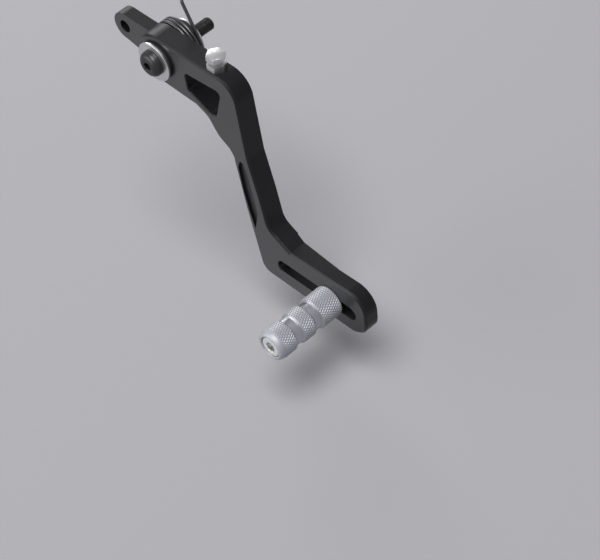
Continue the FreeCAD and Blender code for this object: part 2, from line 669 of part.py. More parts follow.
# Screw through the step pin and the slot, into the nut behind the arm.
screw_seat = head_floor + size("lock_washer_thick")
nut_out = track_floor - size("pin_seat_gap")
screw_end = -(pin_seat - nut_out) - size("nut_thick") - size("screw_past_nut")
screw_top = screw_seat + size("screw_head_height")
screw = turned("step_pin_screw", [
    (0.0, screw_end), (size("screw_radius") - size("screw_chamfer"), screw_end),
    (size("screw_radius"), screw_end + size("screw_chamfer")),
    (size("screw_radius"), screw_seat),
    (size("screw_head_radius"), screw_seat),
    (size("screw_head_radius"), screw_top - size("screw_head_chamfer")),
    (size("screw_head_radius") - size("screw_head_chamfer"), screw_top), (0.0, screw_top),
], pin_x, pin_seat, slot_z)
hex_sketch = new_sketch(screw, "XZ_Plane", "screw_socket_outline", screw_top)
add_polygon(hex_sketch, hexagon(size("screw_socket")))
pocket(screw, hex_sketch, "screw_socket", size("screw_socket_depth"))

slot_nut = new_body("step_pin_nut", pin_x, nut_out - size("nut_thick"), slot_z)
half_nut = size("nut_length") / 2.0
half_wide = size("nut_width") / 2.0
cut = size("nut_corner")
slot_nut_sketch = new_sketch(slot_nut, "XZ_Plane", "step_nut_outline")
add_polygon(slot_nut_sketch, [
    (half_nut - cut, -half_wide), (half_nut, -half_wide + cut), (half_nut, half_wide - cut),
    (half_nut - cut, half_wide), (-half_nut + cut, half_wide), (-half_nut, half_wide - cut),
    (-half_nut, -half_wide + cut), (-half_nut + cut, -half_wide),
])
add_circle(slot_nut_sketch, 0.0, 0.0, size("screw_radius") + size("thread_gap"))
pad(slot_nut, slot_nut_sketch, "step_nut_plate", size("nut_thick"))


def spring_shape():
    """Coil with a leg along the arm and a hooked leg for the bracket, as one swept wire."""
    wire = size("spring_wire").value / 2.0
    turns = size("spring_turns").value
    pitch = size("spring_pitch").value
    coil = Part.makeHelix(pitch, pitch * turns, size("spring_radius").value, 0, True)
    coil.rotate(FreeCAD.Vector(), FreeCAD.Vector(0, 0, 1),
                size("leg_angle").value + 360.0 * turns)
    coil.translate(FreeCAD.Vector(0, 0, coil_out.value - pitch * turns))
    edges = coil.Edges
    first = edges[0]
    last = edges[-1]
    start = first.valueAt(first.FirstParameter)
    end = last.valueAt(last.LastParameter)
    back = first.tangentAt(first.FirstParameter) * -1.0
    onward = last.tangentAt(last.LastParameter)
    inward = FreeCAD.Vector(0, 0, -1)
    inward = (inward - back * inward.dot(back)).normalize()
    bend = size("hook_radius").value
    half = math.radians(45.0)
    bend_from = start + back * size("bracket_leg").value
    bend_mid = bend_from + back * (bend * math.sin(half)) + inward * (bend * (1 - math.cos(half)))
    bend_to = bend_from + back * bend + inward * bend
    tip = bend_to + inward * size("hook_length").value
    path = Part.Wire(
        [Part.LineSegment(tip, bend_to).toShape(),
         Part.Arc(bend_to, bend_mid, bend_from).toShape(),
         Part.LineSegment(bend_from, start).toShape()]
        + edges
        + [Part.LineSegment(end, end + onward * size("leg_length").value).toShape()])
    section = Part.Wire(Part.Circle(tip, inward, wire).toShape())
    solid = path.makePipeShell([section], True, False)
    print("spring: volume %.1f, section times length %.1f"
          % (solid.Volume, math.pi * wire * wire * path.Length))
    solid.rotate(FreeCAD.Vector(), FreeCAD.Vector(1, 0, 0), 90.0)
    return solid


spring = doc.addObject("Part::Feature", "return_spring")
spring.Label = "return_spring"
spring.Shape = spring_shape()

doc.recompute()
pieces = [item for item in doc.Objects
          if item.TypeId == "PartDesign::Body" or item.Name == "return_spring"]
for item in doc.Objects:
    if "Invalid" in item.State or "Error" in item.State:
        raise ValueError("%s did not build" % item.Name)
for piece in pieces:
    shape = piece.Shape
    if shape.isNull() or not shape.isValid() or len(shape.Solids) != 1:
        raise ValueError("%s is not one valid solid" % piece.Label)
for piece in pieces:
    piece.Shape.exportStep("parts/%s.step" % piece.Label)
    print("%s %.0f mm3" % (piece.Label, piece.Shape.Volume))
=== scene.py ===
import math

import bmesh
import bpy
from mathutils import Matrix, Vector


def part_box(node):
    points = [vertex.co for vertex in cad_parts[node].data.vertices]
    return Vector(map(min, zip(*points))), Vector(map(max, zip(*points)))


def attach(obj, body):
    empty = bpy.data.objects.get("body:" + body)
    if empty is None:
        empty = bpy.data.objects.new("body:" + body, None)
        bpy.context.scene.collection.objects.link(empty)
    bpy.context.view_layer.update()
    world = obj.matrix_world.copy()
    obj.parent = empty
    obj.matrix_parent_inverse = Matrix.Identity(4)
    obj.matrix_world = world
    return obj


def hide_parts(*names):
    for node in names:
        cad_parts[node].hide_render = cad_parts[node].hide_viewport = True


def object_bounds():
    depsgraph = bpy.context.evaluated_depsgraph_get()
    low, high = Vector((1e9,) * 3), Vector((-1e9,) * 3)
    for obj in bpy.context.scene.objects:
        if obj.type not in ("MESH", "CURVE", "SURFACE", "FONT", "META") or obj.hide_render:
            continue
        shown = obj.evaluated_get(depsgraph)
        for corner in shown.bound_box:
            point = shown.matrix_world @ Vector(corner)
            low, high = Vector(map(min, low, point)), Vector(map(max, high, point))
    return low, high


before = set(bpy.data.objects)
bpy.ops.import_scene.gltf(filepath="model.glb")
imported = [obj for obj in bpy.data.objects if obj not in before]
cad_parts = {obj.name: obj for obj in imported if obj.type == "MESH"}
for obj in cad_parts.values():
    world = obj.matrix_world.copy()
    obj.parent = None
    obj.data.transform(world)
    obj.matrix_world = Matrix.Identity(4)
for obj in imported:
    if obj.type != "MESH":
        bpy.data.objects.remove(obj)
cad_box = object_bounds()

# Pedal arm: one piece of aluminium, milled from plate, then blasted and anodised satin black.
# It turns on the bushes in its hub, and the slot in its foot carries the step pin. Sizes of
# pieces are in millimetres, and those of finishes and of the stage in metres.
MM = 0.001
ARM_BLACK = (0.0062, 0.0064, 0.0073)
ARM_RUBBED = (0.0105, 0.0108, 0.012)
PLATE_COAT = 1.0
PLATE_COAT_ROUGHNESS = 0.3
POCKET_COAT = 0.35
POCKET_MOUTH = 0.0246
POCKET_BED = 0.0225
EDGE_ROUND = 0.0003
BUMP_STRENGTH = 0.6
MIX_COLOUR_A, MIX_COLOUR_B, MIX_COLOUR_RESULT = 6, 7, 2


def group_socket(group, name, direction, kind, value=None):
    """Adds an input or an output to a node group."""
    socket = group.interface.new_socket(name=name, in_out=direction, socket_type=kind)
    if value is not None:
        socket.default_value = value
    return socket


def add_node(tree, kind, place=(0, 0), **settings):
    """Adds a node at a place in its tree, with its settings."""
    node = tree.nodes.new(kind)
    node.location = place
    for name, value in settings.items():
        setattr(node, name, value)
    return node


def math_node(tree, operation, first, second=None, clamp=False):
    """A Math node whose inputs are sockets or plain numbers."""
    node = add_node(tree, "ShaderNodeMath", operation=operation, use_clamp=clamp)
    for number, value in enumerate((first, second)):
        if value is None:
            continue
        if isinstance(value, (int, float)):
            node.inputs[number].default_value = value
        else:
            tree.links.new(value, node.inputs[number])
    return node.outputs[0]


GRAIN_DETAIL = 3.0
LINE_DETAIL = 2.0
CLOUD_SIZE = 60.0
CLOUD_DETAIL = 4.0


def metal_grain_group():
    """Blasted grain and faint machining lines, as a height and a roughness."""
    group = bpy.data.node_groups.new("metal_grain", "ShaderNodeTree")
    group_socket(group, "Grain Size", "INPUT", "NodeSocketFloat", 2200.0)
    group_socket(group, "Line Size", "INPUT", "NodeSocketFloat", 900.0)
    group_socket(group, "Line Share", "INPUT", "NodeSocketFloat", 0.2)
    group_socket(group, "Roughness", "INPUT", "NodeSocketFloat", 0.4)
    group_socket(group, "Roughness Spread", "INPUT", "NodeSocketFloat", 0.1)
    group_socket(group, "Line Direction", "INPUT", "NodeSocketVector", (0.0, 0.0, 1.0))
    group_socket(group, "Height", "OUTPUT", "NodeSocketFloat")
    group_socket(group, "Roughness", "OUTPUT", "NodeSocketFloat")
    entry = add_node(group, "NodeGroupInput", (-900, 0))
    leave = add_node(group, "NodeGroupOutput", (700, 0))
    coords = add_node(group, "ShaderNodeTexCoord", (-900, -300))
    grain = add_node(group, "ShaderNodeTexNoise", (-500, 200))
    grain.inputs["Detail"].default_value = GRAIN_DETAIL
    group.links.new(coords.outputs["Object"], grain.inputs["Vector"])
    group.links.new(entry.outputs["Grain Size"], grain.inputs["Scale"])
    along = add_node(group, "ShaderNodeVectorMath", (-700, -300), operation="DOT_PRODUCT")
    group.links.new(coords.outputs["Object"], along.inputs[0])
    group.links.new(entry.outputs["Line Direction"], along.inputs[1])
    lines = add_node(group, "ShaderNodeTexNoise", (-500, -200), noise_dimensions="1D")
    lines.inputs["Detail"].default_value = LINE_DETAIL
    group.links.new(along.outputs["Value"], lines.inputs["W"])
    group.links.new(entry.outputs["Line Size"], lines.inputs["Scale"])
    mix = add_node(group, "ShaderNodeMix", (-200, 0), data_type="FLOAT")
    group.links.new(entry.outputs["Line Share"], mix.inputs["Factor"])
    group.links.new(grain.outputs["Fac"], mix.inputs["A"])
    group.links.new(lines.outputs["Fac"], mix.inputs["B"])
    cloud = add_node(group, "ShaderNodeTexNoise", (-500, -500))
    cloud.inputs["Scale"].default_value = CLOUD_SIZE
    cloud.inputs["Detail"].default_value = CLOUD_DETAIL
    group.links.new(coords.outputs["Object"], cloud.inputs["Vector"])
    both = math_node(group, "ADD", mix.outputs["Result"], cloud.outputs["Fac"])
    centred = math_node(group, "SUBTRACT", both, 1.0)
    spread = math_node(group, "MULTIPLY", centred, entry.outputs["Roughness Spread"])
    rough = math_node(group, "ADD", entry.outputs["Roughness"], spread, clamp=True)
    group.links.new(mix.outputs["Result"], leave.inputs["Height"])
    group.links.new(rough, leave.inputs["Roughness"])
    return group


PATCH_DETAIL = 6.0
PATCH_ROUGHNESS = 0.65
PATCH_FROM = 0.45
PATCH_FULL = 0.72


def rubbed_group():
    """Soft paler patches where a hand, a boot or a spanner has rubbed."""
    group = bpy.data.node_groups.new("rubbed_patches", "ShaderNodeTree")
    group_socket(group, "Patch Size", "INPUT", "NodeSocketFloat", 45.0)
    group_socket(group, "Amount", "INPUT", "NodeSocketFloat", 0.3)
    group_socket(group, "Clean Colour", "INPUT", "NodeSocketColor", (0.5, 0.5, 0.5, 1.0))
    group_socket(group, "Rubbed Colour", "INPUT", "NodeSocketColor", (0.6, 0.6, 0.6, 1.0))
    group_socket(group, "Colour", "OUTPUT", "NodeSocketColor")
    entry = add_node(group, "NodeGroupInput", (-900, 0))
    leave = add_node(group, "NodeGroupOutput", (700, 0))
    coords = add_node(group, "ShaderNodeTexCoord", (-900, -300))
    patch = add_node(group, "ShaderNodeTexNoise", (-500, 0))
    patch.inputs["Detail"].default_value = PATCH_DETAIL
    patch.inputs["Roughness"].default_value = PATCH_ROUGHNESS
    group.links.new(coords.outputs["Object"], patch.inputs["Vector"])
    group.links.new(entry.outputs["Patch Size"], patch.inputs["Scale"])
    ramp = add_node(group, "ShaderNodeMapRange", (-250, 0), interpolation_type="SMOOTHSTEP")
    ramp.inputs["From Min"].default_value = PATCH_FROM
    ramp.inputs["From Max"].default_value = PATCH_FULL
    group.links.new(patch.outputs["Fac"], ramp.inputs["Value"])
    mask = math_node(group, "MULTIPLY", ramp.outputs["Result"], entry.outputs["Amount"],
                     clamp=True)
    mix = add_node(group, "ShaderNodeMix", (300, 0), data_type="RGBA")
    group.links.new(mask, mix.inputs["Factor"])
    group.links.new(entry.outputs["Clean Colour"], mix.inputs[MIX_COLOUR_A])
    group.links.new(entry.outputs["Rubbed Colour"], mix.inputs[MIX_COLOUR_B])
    group.links.new(mix.outputs[MIX_COLOUR_RESULT], leave.inputs["Colour"])
    return group


FACING_FROM = 0.54
FACING_FULL = 0.99


def plate_faces_group():
    """A mask of the plate's two flat faces, weaker on their chamfers and in the pocket."""
    group = bpy.data.node_groups.new("plate_faces", "ShaderNodeTree")
    group_socket(group, "Amount", "INPUT", "NodeSocketFloat", 1.0)
    group_socket(group, "Pocket Amount", "INPUT", "NodeSocketFloat", 1.0)
    group_socket(group, "Pocket Out", "INPUT", "NodeSocketFloat", 0.0)
    group_socket(group, "Pocket In", "INPUT", "NodeSocketFloat", 0.0)
    group_socket(group, "Mask", "OUTPUT", "NodeSocketFloat")
    entry = add_node(group, "NodeGroupInput", (-900, 0))
    leave = add_node(group, "NodeGroupOutput", (700, 0))
    coords = add_node(group, "ShaderNodeTexCoord", (-900, -300))
    parts = add_node(group, "ShaderNodeSeparateXYZ", (-700, -300))
    group.links.new(coords.outputs["Normal"], parts.inputs["Vector"])
    across = math_node(group, "ABSOLUTE", parts.outputs["Y"])
    ramp = add_node(group, "ShaderNodeMapRange", (-250, 0), interpolation_type="SMOOTHSTEP")
    ramp.inputs["From Min"].default_value = FACING_FROM
    ramp.inputs["From Max"].default_value = FACING_FULL
    group.links.new(across, ramp.inputs["Value"])
    place = add_node(group, "ShaderNodeSeparateXYZ", (-700, -500))
    group.links.new(coords.outputs["Object"], place.inputs["Vector"])
    outward = math_node(group, "MULTIPLY", place.outputs["Y"], -1.0)
    below_face = math_node(group, "LESS_THAN", outward, entry.outputs["Pocket Out"])
    above_floor = math_node(group, "GREATER_THAN", outward, entry.outputs["Pocket In"])
    in_pocket = math_node(group, "MULTIPLY", below_face, above_floor)
    amount = add_node(group, "ShaderNodeMix", (200, 0), data_type="FLOAT")
    group.links.new(in_pocket, amount.inputs["Factor"])
    group.links.new(entry.outputs["Amount"], amount.inputs["A"])
    group.links.new(entry.outputs["Pocket Amount"], amount.inputs["B"])
    mask = math_node(group, "MULTIPLY", ramp.outputs["Result"], amount.outputs["Result"])
    group.links.new(mask, leave.inputs["Mask"])
    return group


METAL_GRAIN = metal_grain_group()
RUBBED = rubbed_group()
PLATE_FACES = plate_faces_group()


def finish(name, clean, rubbed, metallic, roughness, grain=2200.0, lines=900.0,
           line_share=0.2, line_along=(0.0, 0.0, 1.0), spread=0.1, bump=0.00002,
           patch=45.0, amount=0.3, specular=0.5, plate_coat=0.0, edge_round=0.0):
    """A surface from one shader and the shared groups. Only the arm's has a coat on its
    flat faces and softly rounded edges."""
    material = bpy.data.materials.new(name)
    material.use_nodes = True
    tree = material.node_tree
    shader = tree.nodes["Principled BSDF"]
    shader.inputs["Metallic"].default_value = metallic
    shader.inputs["Specular IOR Level"].default_value = specular
    if plate_coat:
        shader.inputs["Coat Roughness"].default_value = PLATE_COAT_ROUGHNESS
        faces = add_node(tree, "ShaderNodeGroup", (-700, 500), node_tree=PLATE_FACES)
        faces.inputs["Amount"].default_value = plate_coat
        faces.inputs["Pocket Amount"].default_value = POCKET_COAT
        faces.inputs["Pocket Out"].default_value = POCKET_MOUTH
        faces.inputs["Pocket In"].default_value = POCKET_BED
        tree.links.new(faces.outputs["Mask"], shader.inputs["Coat Weight"])
    wear = add_node(tree, "ShaderNodeGroup", (-700, 200), node_tree=RUBBED)
    wear.inputs["Patch Size"].default_value = patch
    wear.inputs["Amount"].default_value = amount
    wear.inputs["Clean Colour"].default_value = (*clean, 1.0)
    wear.inputs["Rubbed Colour"].default_value = (*rubbed, 1.0)
    tree.links.new(wear.outputs["Colour"], shader.inputs["Base Color"])
    surface = add_node(tree, "ShaderNodeGroup", (-700, -200), node_tree=METAL_GRAIN)
    surface.inputs["Grain Size"].default_value = grain
    surface.inputs["Line Size"].default_value = lines
    surface.inputs["Line Share"].default_value = line_share
    surface.inputs["Roughness"].default_value = roughness
    surface.inputs["Roughness Spread"].default_value = spread
    surface.inputs["Line Direction"].default_value = line_along
    tree.links.new(surface.outputs["Roughness"], shader.inputs["Roughness"])
    bumps = add_node(tree, "ShaderNodeBump", (-300, -300))
    bumps.inputs["Strength"].default_value = BUMP_STRENGTH
    bumps.inputs["Distance"].default_value = bump
    if edge_round:
        edge = add_node(tree, "ShaderNodeBevel", (-500, -500))
        edge.inputs["Radius"].default_value = edge_round
        tree.links.new(edge.outputs["Normal"], bumps.inputs["Normal"])
    tree.links.new(surface.outputs["Height"], bumps.inputs["Height"])
    tree.links.new(bumps.outputs["Normal"], shader.inputs["Normal"])
    return material


def dress(node, material):
    """Gives a solid of the frame its finish."""
    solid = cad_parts[node]
    solid.data.materials.clear()
    solid.data.materials.append(material)


black_anodised = finish(
    "black_anodised", ARM_BLACK, ARM_RUBBED, metallic=0.0, roughness=0.36, grain=2600.0,
    line_share=0.15, line_along=(0.7, 0.0, 0.7), spread=0.12, bump=0.00003, patch=30.0,
    amount=0.5, specular=0.24, plate_coat=PLATE_COAT, edge_round=EDGE_ROUND)
dress("pedal_arm", black_anodised)

# Pivot bushes: two flanged bushes of sintered bronze. They are pressed into the hub from
# either side and run on the pivot sleeve.
bush_bronze = finish(
    "bush_bronze", (0.42, 0.26, 0.12), (0.52, 0.34, 0.17), metallic=1.0, roughness=0.42,
    grain=1800.0, spread=0.15, patch=120.0, amount=0.6)
for node in ("pivot_bush_outer", "pivot_bush_inner"):
    dress(node, bush_bronze)

# Dust seals: a ring of moulded rubber round each bush's flange. It keeps grit out of the
# bearing and is held by the washer beside it.
seal_rubber = finish(
    "seal_rubber", (0.018, 0.018, 0.018), (0.04, 0.04, 0.04), metallic=0.0, roughness=0.62,
    grain=1500.0, spread=0.1, patch=80.0, amount=0.5)
for node in ("pivot_seal_outer", "pivot_seal_inner"):
    dress(node, seal_rubber)

# Pivot sleeve and washers: turned and stamped steel, zinc plated. The bolt clamps them to
# the bike's bracket, and the pedal swings round them.
plated_steel = finish(
    "plated_steel", (0.66, 0.66, 0.66), (0.76, 0.75, 0.73), metallic=1.0, roughness=0.33,
    grain=3200.0, line_share=0.3, line_along=(0.0, 1.0, 0.0), spread=0.12, bump=0.00001,
    patch=90.0, amount=0.5)
for node in ("pivot_sleeve", "pivot_washer_outer", "pivot_washer_inner"):
    dress(node, plated_steel)

# Pivot bolt: a black M8 steel bolt with a domed head and a hexagon socket. It goes through
# the outer washer and the sleeve into the bracket, and holds the pedal on it.
BOLT_LOW, BOLT_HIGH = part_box("pivot_bolt")
BOLT_END = -BOLT_HIGH.y / MM
BOLT_TOP = -BOLT_LOW.y / MM
BOLT_HEAD = 5.0
BOLT_HEAD_RADIUS = 8.0
BOLT_HEAD_EDGE = 0.3
BOLT_RIM = 1.1
BOLT_CROWN = 4.2
DOME_STEPS = 8
DOME_FULLNESS = 0.9
BOLT_RADIUS = 4.0
BOLT_CHAMFER = 0.8
BOLT_FLATS = 5.0
BOLT_SOCKET = 3.0
RELIEF_DEPTH = 0.6
RELIEF_WIDTH = 1.0
COARSE_PITCH = 1.25
THREAD_DEPTH = 0.61
THREAD_CREST = 0.12
THREAD_ROWS = 8.0
HEXAGON = math.radians(60.0)
SOCKET_WIDER = 0.1
SOCKET_EDGE = 0.25
SOCKET_POINT = 0.8
AROUND = 72
SAME_PLACE = 0.000002
SHARP_FROM = math.radians(28.0)


def lathe(name, base, rows, around, axis="out"):
    """A turned piece. Each row is a distance from the base and a radius, which may change
    with the angle. The axis runs out from the bike ("out") or upwards ("up")."""
    mesh = bpy.data.meshes.new(name)
    shape = bmesh.new()
    rings = []
    for along, radius in rows:
        ring = []
        for step in range(around):
            angle = math.tau * step / around
            reach = radius(angle) if callable(radius) else radius
            across, up = reach * math.cos(angle), reach * math.sin(angle)
            if axis == "out":
                place = Vector((across, -along, up))
            else:
                place = Vector((across, up, along))
            ring.append(shape.verts.new(base + place * MM))
        rings.append(ring)
    for low, high in zip(rings, rings[1:]):
        for step in range(around):
            following = (step + 1) % around
            shape.faces.new((low[step], low[following], high[following], high[step]))
    bmesh.ops.remove_doubles(shape, verts=shape.verts, dist=SAME_PLACE)
    bmesh.ops.recalc_face_normals(shape, faces=shape.faces)
    shape.to_mesh(mesh)
    shape.free()
    mesh.shade_smooth()
    mesh.set_sharp_from_angle(angle=SHARP_FROM)
    piece = bpy.data.objects.new(name, mesh)
    bpy.context.scene.collection.objects.link(piece)
    return piece


def hexagon(flats):
    """Radius of a hexagon at each angle."""
    return lambda angle: flats / 2.0 / math.cos(angle % HEXAGON - HEXAGON / 2.0)


def hexagon_under(flats, limit):
    """A hexagon whose corners are turned down to a circle."""
    corners = hexagon(flats)
    return lambda angle: min(corners(angle), limit)


def hexagon_socket(top, flats, depth):
    """Rows of a hexagon socket cut into a head, with its edge turned down a little."""
    edge = flats / 2.0 / math.cos(HEXAGON / 2.0) + SOCKET_WIDER
    return [(top, edge), (top - SOCKET_EDGE, hexagon(flats)), (top - depth, hexagon(flats)),
            (top - depth - SOCKET_POINT, 0.0)]


def thread_rows(start, end, radius, pitch, chamfer=0.0):
    """Rows of a screw thread, with a chamfer where it starts."""
    depth = pitch * THREAD_DEPTH
    count = int((end - start) / pitch * THREAD_ROWS)
    rows = []
    for number in range(count + 1):
        along = start + (end - start) * number / count
        limit = min(radius, radius - chamfer + (along - start))

        def reach(angle, along=along, limit=limit):
            turn = (along / pitch - angle / math.tau) % 1.0
            groove = 1.0 - abs(turn - 0.5) * 2.0
            cut = max(0.0, groove - THREAD_CREST) / (1.0 - THREAD_CREST)
            return min(limit, radius - depth * cut)

        rows.append((along, reach))
    return rows


bolt_rows = [(BOLT_END, 0.0)]
bolt_rows += thread_rows(BOLT_END, 0.0, BOLT_RADIUS, COARSE_PITCH, chamfer=BOLT_CHAMFER)
bolt_rows += [(0.0, BOLT_RADIUS - RELIEF_DEPTH), (RELIEF_WIDTH, BOLT_RADIUS - RELIEF_DEPTH),
              (RELIEF_WIDTH, BOLT_RADIUS)]
bolt_seat = BOLT_TOP - BOLT_HEAD
bolt_rows += [(bolt_seat, BOLT_RADIUS), (bolt_seat, BOLT_HEAD_RADIUS - BOLT_HEAD_EDGE),
              (bolt_seat + BOLT_HEAD_EDGE, BOLT_HEAD_RADIUS),
              (bolt_seat + BOLT_RIM, BOLT_HEAD_RADIUS)]
for step in range(1, DOME_STEPS + 1):
    turn = step / DOME_STEPS * math.pi / 2.0
    dome = (BOLT_HEAD - BOLT_RIM) * math.sin(turn) ** DOME_FULLNESS
    bolt_rows.append((bolt_seat + BOLT_RIM + dome,
                      BOLT_CROWN + (BOLT_HEAD_RADIUS - BOLT_CROWN) * math.cos(turn)))
bolt_rows += hexagon_socket(BOLT_TOP, BOLT_FLATS, BOLT_SOCKET)
pivot_bolt = lathe("pivot_bolt_threaded", Vector((0.0, 0.0, 0.0)), bolt_rows, AROUND)
black_steel = finish(
    "black_steel", (0.035, 0.035, 0.037), (0.11, 0.105, 0.10), metallic=0.6, roughness=0.36,
    grain=2600.0, spread=0.12, patch=80.0, amount=0.4)
pivot_bolt.data.materials.append(black_steel)
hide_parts("pivot_bolt")
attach(pivot_bolt, "pivot")

# Return spring: hard-drawn steel wire, oiled, wound round the hub's boss. One leg pushes on
# the post in the arm and the other hooks into the bracket.
spring_steel = finish(
    "spring_steel", (0.09, 0.09, 0.095), (0.2, 0.19, 0.18), metallic=0.85, roughness=0.34,
    grain=2400.0, spread=0.12, patch=110.0, amount=0.4)
dress("return_spring", spring_steel)

# Spring post: a turned steel pin with a flat head, zinc plated. It is pressed into the
# inner face of the arm.
dress("spring_post", plated_steel)

# Stop screw and its nut: a plated M6 steel screw with the corners of its hexagon turned
# down. It is screwed into the top of the beam to set the pedal's height, and the nut locks it.
STOP_LOW, STOP_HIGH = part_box("stop_screw")
STOP_BASE = Vector(((STOP_LOW.x + STOP_HIGH.x) / 2.0, (STOP_LOW.y + STOP_HIGH.y) / 2.0,
                    STOP_LOW.z))
STOP_LENGTH = (STOP_HIGH.z - STOP_LOW.z) / MM
STOP_HEAD = 4.0
STOP_FLATS = 10.0
STOP_CORNERS = 5.35
STOP_UNDER = 0.3
STOP_ROUNDED = 0.5
STOP_EDGE = 0.2
STOP_CROWN = 4.6
STOP_RADIUS = 3.0
STOP_PITCH = 1.0
STOP_CHAMFER = 0.6
stop_seat = STOP_LENGTH - STOP_HEAD
stop_rows = [(0.0, 0.0)]
stop_rows += thread_rows(0.0, stop_seat, STOP_RADIUS, STOP_PITCH, chamfer=STOP_CHAMFER)
stop_rows += [(stop_seat, hexagon_under(STOP_FLATS, STOP_CORNERS)),
              (stop_seat + STOP_UNDER, hexagon(STOP_FLATS)),
              (STOP_LENGTH - STOP_ROUNDED, hexagon(STOP_FLATS)),
              (STOP_LENGTH - STOP_EDGE, hexagon_under(STOP_FLATS, STOP_CORNERS)),
              (STOP_LENGTH, STOP_CROWN), (STOP_LENGTH, 0.0)]
stop_screw = lathe("stop_screw_threaded", STOP_BASE, stop_rows, AROUND, axis="up")
stop_screw.data.materials.append(plated_steel)
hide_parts("stop_screw")
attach(stop_screw, "stop")
dress("stop_locknut", plated_steel)

# Step pin: turned from aluminium bar with three knurled bands, two smooth grooves and a
# rounded tip, then clear anodised. Its screw clamps it against the slotted foot.
PIN_LOW, PIN_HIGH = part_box("step_pin")
PIN_RADIUS = (PIN_HIGH.z - PIN_LOW.z) / 2.0 / MM
PIN_LENGTH = (PIN_HIGH.y - PIN_LOW.y) / MM
PIN_BASE = Vector(((PIN_LOW.x + PIN_HIGH.x) / 2.0, PIN_HIGH.y, (PIN_LOW.z + PIN_HIGH.z) / 2.0))
KNURLS_AROUND = 36
KNURL_SAMPLES = 12
KNURL_ANGLE = math.radians(32.3)
KNURL_DEPTH = 0.45
KNURL_CREST = 0.22
KNURL_PITCH = math.tau * PIN_RADIUS / KNURLS_AROUND
KNURL_LENGTH = KNURL_PITCH / math.tan(KNURL_ANGLE)
GROOVES = ((15.3, 4.7), (29.9, 5.2))
GROOVE_RADIUS = 8.6
GROOVE_CORNER = 0.2
RIM = 1.15
RIM_SLOPE = 0.9
BASE_RIM = RIM * 0.6
TURNED_RIM = RIM * 0.7
TIP_LENGTH = 4.2
TIP_RADIUS = 7.4
TIP_START = 0.25
TIP_ROWS = (0.35, 0.18, 0.06, 0.02, 0.0)
TIP_BORE = 6.75
TIP_BORE_DEPTH = 9.9
TIP_BORE_EDGE = 0.3
SCREW_HOLE = 4.2
UPRIGHT_STEP = 0.001
CLOSEST_ROWS = 0.04


def pin_profile(along):
    """The turned outline of the pin, before its knurl."""
    radius = PIN_RADIUS
    if along < BASE_RIM:
        radius = PIN_RADIUS - (BASE_RIM - along)
    for start, width in GROOVES:
        inside = min(along - start, start + width - along)
        if inside > 0:
            radius = GROOVE_RADIUS
        elif inside > -RIM:
            radius = min(radius, PIN_RADIUS - (RIM + inside) * RIM_SLOPE)
    tip = along - (PIN_LENGTH - TIP_LENGTH)
    if tip > 0:
        share = min(1.0, tip / TIP_LENGTH)
        drop = 1.0 - math.sqrt(1.0 - share * share)
        radius = min(radius, PIN_RADIUS - TIP_START
                     - (PIN_RADIUS - TIP_START - TIP_RADIUS) * drop)
    return radius


def knurled(along):
    """Radius round the pin at one height: diamonds cut by two sets of helical grooves."""
    profile = pin_profile(along)

    def radius(angle):
        turn = angle / math.tau * KNURLS_AROUND
        rise = along / KNURL_LENGTH
        first = abs(((turn + rise) % 1.0) - 0.5) * 2.0
        second = abs(((turn - rise) % 1.0) - 0.5) * 2.0
        cut = max(first, second)
        flat_top = max(0.0, cut - KNURL_CREST) / (1.0 - KNURL_CREST)
        return min(profile, PIN_RADIUS - KNURL_DEPTH * flat_top)

    return radius


def pin_rows():
    """Rows of the knurl, with a row at each turned corner between them."""
    corners = [0.0, BASE_RIM]
    for start, width in GROOVES:
        end = start + width
        corners += [start - RIM, start - UPRIGHT_STEP, start, start + GROOVE_CORNER,
                    end - GROOVE_CORNER, end, end + UPRIGHT_STEP, end + RIM]
    corners += [PIN_LENGTH - TIP_LENGTH * share for share in TIP_ROWS]
    step = KNURL_LENGTH / KNURL_SAMPLES
    steps = [number * step for number in range(int(PIN_LENGTH / step) + 1)]
    kept = [place for place in steps
            if not any(start + GROOVE_CORNER < place < start + width - GROOVE_CORNER
                       for start, width in GROOVES)]
    places = sorted(set(corners + kept))
    merged = [places[0]]
    for place in places[1:]:
        if place in corners or place - merged[-1] > CLOSEST_ROWS:
            merged.append(place)
    rows = [(0.0, SCREW_HOLE)] + [(place, knurled(place)) for place in merged]
    rows += [(PIN_LENGTH, TIP_BORE + TIP_BORE_EDGE), (PIN_LENGTH - TIP_BORE_EDGE, TIP_BORE),
             (PIN_LENGTH - TIP_BORE_DEPTH, TIP_BORE), (PIN_LENGTH - TIP_BORE_DEPTH, SCREW_HOLE),
             (0.0, SCREW_HOLE)]
    return rows


clear_anodised = finish(
    "clear_anodised", (0.405, 0.415, 0.45), (0.465, 0.475, 0.505), metallic=0.5, roughness=0.55,
    grain=3000.0, lines=5200.0, line_share=0.7, line_along=(0.0, 1.0, 0.0), spread=0.12,
    bump=0.000015, patch=60.0, amount=0.5)
turned_aluminium = finish(
    "turned_aluminium", (0.45, 0.46, 0.49), (0.53, 0.54, 0.56), metallic=0.9, roughness=0.32,
    grain=3000.0, lines=2600.0, line_share=0.85, line_along=(0.0, 1.0, 0.0), spread=0.14,
    bump=0.00002, patch=60.0, amount=0.4)
step_pin = lathe("step_pin_knurled", PIN_BASE, pin_rows(), KNURLS_AROUND * KNURL_SAMPLES)
step_pin.data.materials.append(clear_anodised)
step_pin.data.materials.append(turned_aluminium)
for face in step_pin.data.polygons:
    along = (PIN_BASE.y - face.center.y) / MM
    if any(start - TURNED_RIM < along < start + width + TURNED_RIM for start, width in GROOVES):
        face.material_index = 1
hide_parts("step_pin")
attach(step_pin, "step")

